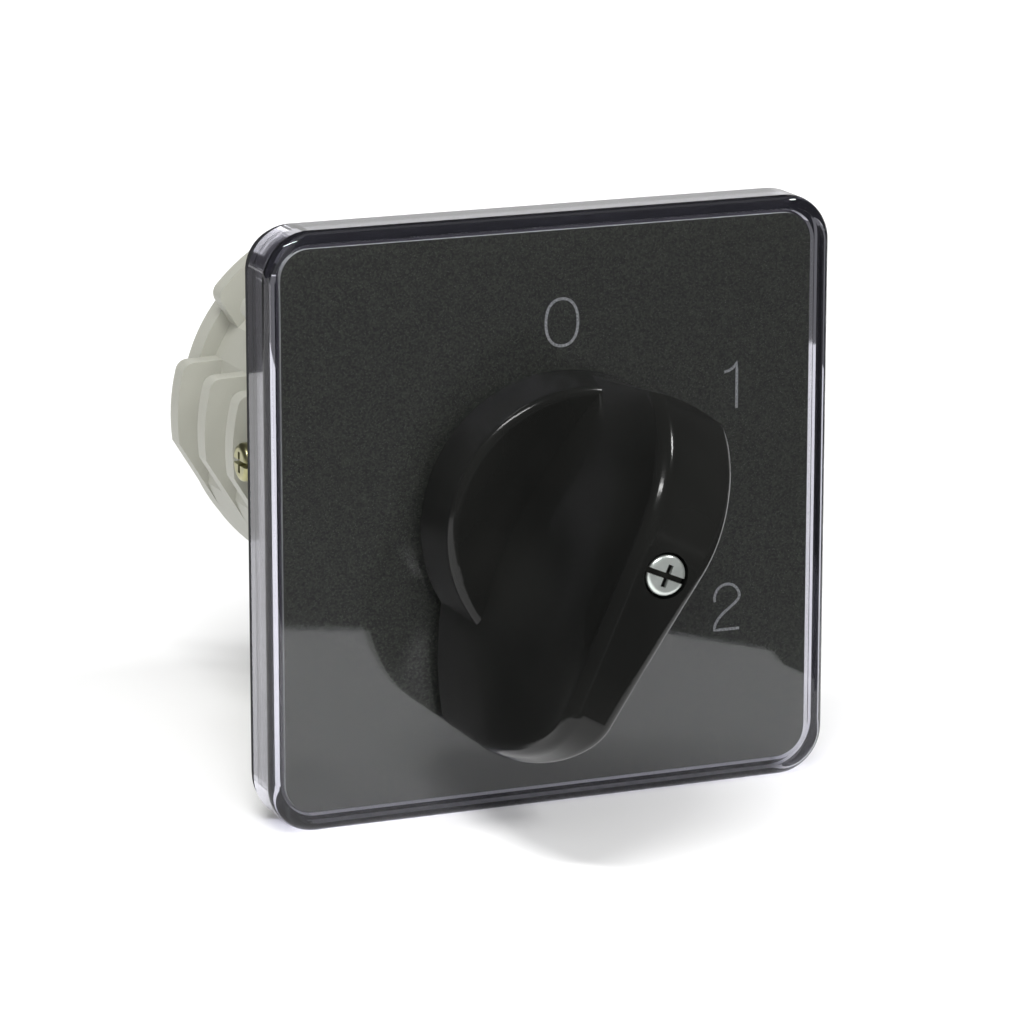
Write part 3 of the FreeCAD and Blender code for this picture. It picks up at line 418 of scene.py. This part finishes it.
def legend_print():
    """Dark printed aluminium: flakes of about 0.15 mm glint through the coat, and the cut edge is bare."""
    material, shader = new_finish("legend_print")
    place = surface_place(material)
    flakes = add(material, "ShaderNodeTexVoronoi", Scale=LEGEND_FLAKES)
    join(material, place, flakes.inputs["Vector"])
    speck = add(material, "ShaderNodeSeparateColor")
    join(material, flakes.outputs["Color"], speck.inputs["Color"])
    haze = grain(material, place, LEGEND_HAZE, 3.0, 0.6)
    both = add(material, "ShaderNodeMath", operation="MULTIPLY")
    join(material, speck.outputs["Red"], both.inputs[0])
    join(material, haze, both.inputs[1])
    shade_between(material, both.outputs["Value"], *LEGEND_COAT, shader.inputs["Base Color"], (0.05, 0.6))
    level_between(material, speck.outputs["Green"], *LEGEND_ROUGHNESS, shader.inputs["Roughness"])
    relief(material, haze, 0.01 * MM, 0.25, shader.inputs["Normal"])
    shader.inputs["Metallic"].default_value = 0.2
    blend_over(material, shader, PLATE_EDGE, faces_front_or_back(material))
    return material


def faces_front_or_back(material):
    """One on the plate's two wide sides, where the normal's y is past a half, and nought on its cut edge."""
    facing = add(material, "ShaderNodeSeparateXYZ")
    join(material, add(material, "ShaderNodeTexCoord").outputs["Normal"], facing.inputs["Vector"])
    depthwise = add(material, "ShaderNodeMath", operation="ABSOLUTE")
    join(material, facing.outputs["Y"], depthwise.inputs[0])
    wide = add(material, "ShaderNodeMath", operation="GREATER_THAN")
    join(material, depthwise.outputs["Value"], wide.inputs[0])
    return wide.outputs["Value"]


def polished_black():
    """Glossy black moulding of the grip knob, with the faint orange peel of a polished mould."""
    material, shader = new_finish("polished_black")
    place = surface_place(material)
    drift = grain(material, place, KNOB_DRIFT)
    orange_peel = grain(material, place, KNOB_ORANGE_PEEL, 1.0)
    shade_between(material, drift, *KNOB_BLACK, shader.inputs["Base Color"])
    level_between(material, drift, *KNOB_ROUGHNESS, shader.inputs["Roughness"])
    relief(material, orange_peel, 0.008 * MM, 0.12, shader.inputs["Normal"])
    shader.inputs["Specular IOR Level"].default_value = 0.28
    return material


def numeral_metal():
    """Bare plate metal where the dark print leaves the numerals open."""
    material, shader = new_finish("numeral_metal")
    shader.inputs["Metallic"].default_value = 0.2
    speckle = grain(material, surface_place(material), NUMERAL_SPECKLE)
    shade_between(material, speckle, *NUMERAL_METAL, shader.inputs["Base Color"])
    level_between(material, speckle, *NUMERAL_ROUGHNESS, shader.inputs["Roughness"])
    return material


def give_finishes():
    """One material for each finish, put on every node that has it.

    A name here is how the names of its nodes start, and the longest one that fits holds.
    """
    finishes = {
        "clear_cover": clear_acrylic(),
        "legend_plate": legend_print(),
        "front_frame": frame_black(),
        "panel_gasket": moulding("gasket_rubber", GASKET_RUBBER, 0.85, grain_height=0.02 * MM, gloss=0.05),
        "knob": polished_black(),
        "knob_screw": screw_zinc(),
        "spindle": plated_metal("ground_steel", GROUND_STEEL, 0.3, run=(1, 12, 1)),
        "detent_springs": plated_metal("spring_wire", SPRING_WIRE, 0.32),
        "detent_wheel": moulding("natural_nylon", NATURAL_NYLON, 0.45),
        "cam_": moulding("cam_nylon", CAM_NYLON, 0.42),
        "latch_housing": moulding("body_ivory", BODY_IVORY, 0.46, spread=0.03),
        "contact_bridge": plated_metal("contact_copper", CONTACT_COPPER, 0.3),
        "saddle_clamps": plated_metal("olive_zinc", OLIVE_ZINC, 0.34, spread=0.18),
    }
    like = {
        "shaft_seal": "panel_gasket", "detent_rollers": "spindle", "contact_spring": "detent_springs",
        "detent_sliders": "detent_wheel", "plunger": "detent_wheel", "latch_cover": "latch_housing",
        "rear_cover": "latch_housing", "stage_housing": "latch_housing", "fixed_contacts": "contact_bridge",
        "terminal_screws": "saddle_clamps", "tie_bolts": "spindle", "tie_nuts": "spindle",
    }
    for name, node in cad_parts.items():
        start = max((start for start in (*finishes, *like) if name.startswith(start)), key=len)
        for held in node.material_slots:
            held.material = finishes[like.get(start, start)]


def print_numerals():
    """The three position numbers, thin strokes on the legend plate's front."""
    plate_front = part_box("legend_plate")[0].y
    finish = numeral_metal()
    numerals = (("numeral_0", zero_path(), True, ZERO_PLACE), ("numeral_1", one_path(), False, ONE_PLACE),
                ("numeral_2", two_path(), False, TWO_PLACE))
    for name, path, closed, place in numerals:
        points, faces = printed_stroke(path, closed)
        piece = mesh_object(name, points + (place[0], plate_front, place[1]), faces)
        piece.data.materials.append(finish)
        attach(piece, "switch_body")


# The table, the dark room that the cover and the knob mirror, and the lamps

def seen_as_background(owner):
    """One where a camera, glossy or transmitted ray looks: the three added and held to one."""
    rays = add(owner, "ShaderNodeLightPath")
    seen = rays.outputs["Is Camera Ray"]
    for kind in ("Is Glossy Ray", "Is Transmission Ray"):
        both = add(owner, "ShaderNodeMath", operation="ADD", use_clamp=True)
        join(owner, seen, both.inputs[0])
        join(owner, rays.outputs[kind], both.inputs[1])
        seen = both.outputs["Value"]
    return seen


def lift_to_white(material, shader):
    """Adds a glow where camera, mirror or clear plastic look at the table: white, but for its shadow."""
    away = add(material, "ShaderNodeVectorMath", operation="LENGTH")
    join(material, surface_place(material), away.inputs[0])
    level = run_between(material, away.outputs["Value"], *TABLE_GLOW, *TABLE_GLOW_REACH)
    glow = add(material, "ShaderNodeMath", operation="MULTIPLY")
    join(material, seen_as_background(material), glow.inputs[0])
    join(material, level, glow.inputs[1])
    join(material, glow.outputs["Value"], shader.inputs["Emission Strength"])
    shader.inputs["Emission Color"].default_value = (1, 1, 1, 1)


def mirror_only(card, name, level):
    """Gives a stage card an even glow that only mirrors and clear plastic meet; it takes no light away."""
    material = bpy.data.materials.new(name)
    material.use_nodes = True
    material.node_tree.nodes.remove(main_shader(material))
    glow = add(material, "ShaderNodeEmission", Color=(level, level, level, 1))
    join(material, glow.outputs["Emission"], material.node_tree.nodes["Material Output"].inputs["Surface"])
    card.data.materials.append(material)
    card.visible_camera = False
    card.visible_diffuse = False
    card.visible_shadow = False


def lay_card(name, outline, height, level):
    """A flat card of one level just over the table, its outline counted anticlockwise from above."""
    corners = [(x, y, height + CARD_LIFT) for x, y in outline]
    mirror_only(mesh_object(name, corners, [list(range(len(corners)))]), name, level)


def lay_table():
    """The pale table under the switch, with the dark floor and the dim floor on it."""
    height = min(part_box(name)[0].z for name in ("panel_gasket", "clear_cover"))
    corners = [(TABLE_REACH * x, TABLE_REACH * y, height) for x, y in ((-1, -1), (1, -1), (1, 1), (-1, 1))]
    table = mesh_object("table", corners, [[0, 1, 2, 3]])
    material, shader = new_finish("pale_table")
    drift = grain(material, surface_place(material), TABLE_DRIFT)
    shade_between(material, drift, *PALE_TABLE, shader.inputs["Base Color"])
    shader.inputs["Roughness"].default_value = TABLE_ROUGHNESS
    lift_to_white(material, shader)
    table.data.materials.append(material)
    lay_card("dark_floor", [*TABLE_EDGE, *DARK_FLOOR_FAR][::-1], height, ROOM_LEVEL)
    lay_card("dim_floor", DIM_FLOOR, height, DIM_LEVEL)


def hang_room():
    """The dark room: a dome round the origin with its low openings behind the switch.

    A point lies at its turn and rise, both in even steps, on a sphere. Where a face's middle falls in an
    opening, the face is left out.
    """
    turn_step, rise_step = ROOM_STEPS
    turn, rise = np.meshgrid(np.arange(0, 361, turn_step), np.arange(0, 91, rise_step))
    around, up = np.radians(turn), np.radians(rise)
    points = np.stack([np.cos(around) * np.cos(up), np.sin(around) * np.cos(up), np.sin(up)], -1)
    rows, columns = turn.shape
    corner = np.arange(rows - 1)[:, None] * columns + np.arange(columns - 1)[None, :]
    faces = np.stack([corner, corner + columns, corner + columns + 1, corner + 1], -1)
    middle_turn, middle_rise = turn[:-1, :-1] + turn_step / 2, rise[:-1, :-1] + rise_step / 2
    wall = np.ones(middle_turn.shape, bool)
    for first, last, top in ROOM_OPENINGS:
        wall &= ~((middle_turn > first) & (middle_turn < last) & (middle_rise < top))
    room = mesh_object("dark_room", ROOM_RADIUS * points.reshape(-1, 3), faces[wall].tolist(), smooth=True)
    mirror_only(room, "dark_room", ROOM_LEVEL)


def lamp(name, place, aim, width, height, power, mirrored):
    """A soft rectangular lamp that looks from its place to its aim; mirrors show it only where mirrored."""
    light = bpy.data.lights.new(name, "AREA")
    light.shape = "RECTANGLE"
    light.size, light.size_y, light.energy = width, height, power
    holder = bpy.data.objects.new(name, light)
    bpy.context.scene.collection.objects.link(holder)
    holder.location = place
    holder.rotation_euler = (Vector(aim) - Vector(place)).to_track_quat("-Z", "Y").to_euler()
    holder.visible_glossy = mirrored


def light_studio():
    """The lamps, and a white surround that gives less light than it shows."""
    for settings in LAMPS:
        lamp(*settings)
    world = bpy.data.worlds.new("white_surround")
    bpy.context.scene.world = world
    world.use_nodes = True
    background = world.node_tree.nodes["Background"]
    background.inputs["Color"].default_value = (1, 1, 1, 1)
    level_between(world, seen_as_background(world), *SURROUND_LEVEL, background.inputs["Strength"])


def place_camera():
    """The camera looks from its place at its azimuth and drop; azimuth 0 looks along +Y."""
    turn, drop = math.radians(CAMERA_AZIMUTH), math.radians(CAMERA_DROP)
    ahead = Vector((-math.sin(turn) * math.cos(drop), math.cos(turn) * math.cos(drop), -math.sin(drop)))
    data = bpy.data.cameras.new("camera")
    data.lens, data.sensor_width, data.clip_start = CAMERA_LENS, CAMERA_FILM, 0.01
    camera = bpy.data.objects.new("camera", data)
    bpy.context.scene.collection.objects.link(camera)
    camera.location = CAMERA_PLACE
    camera.rotation_euler = ahead.to_track_quat("-Z", "Y").to_euler()
    bpy.context.scene.camera = camera


place_camera()
give_finishes()
print_numerals()
lay_table()
hang_room()
light_studio()
bpy.context.scene.view_settings.view_transform = "Standard"
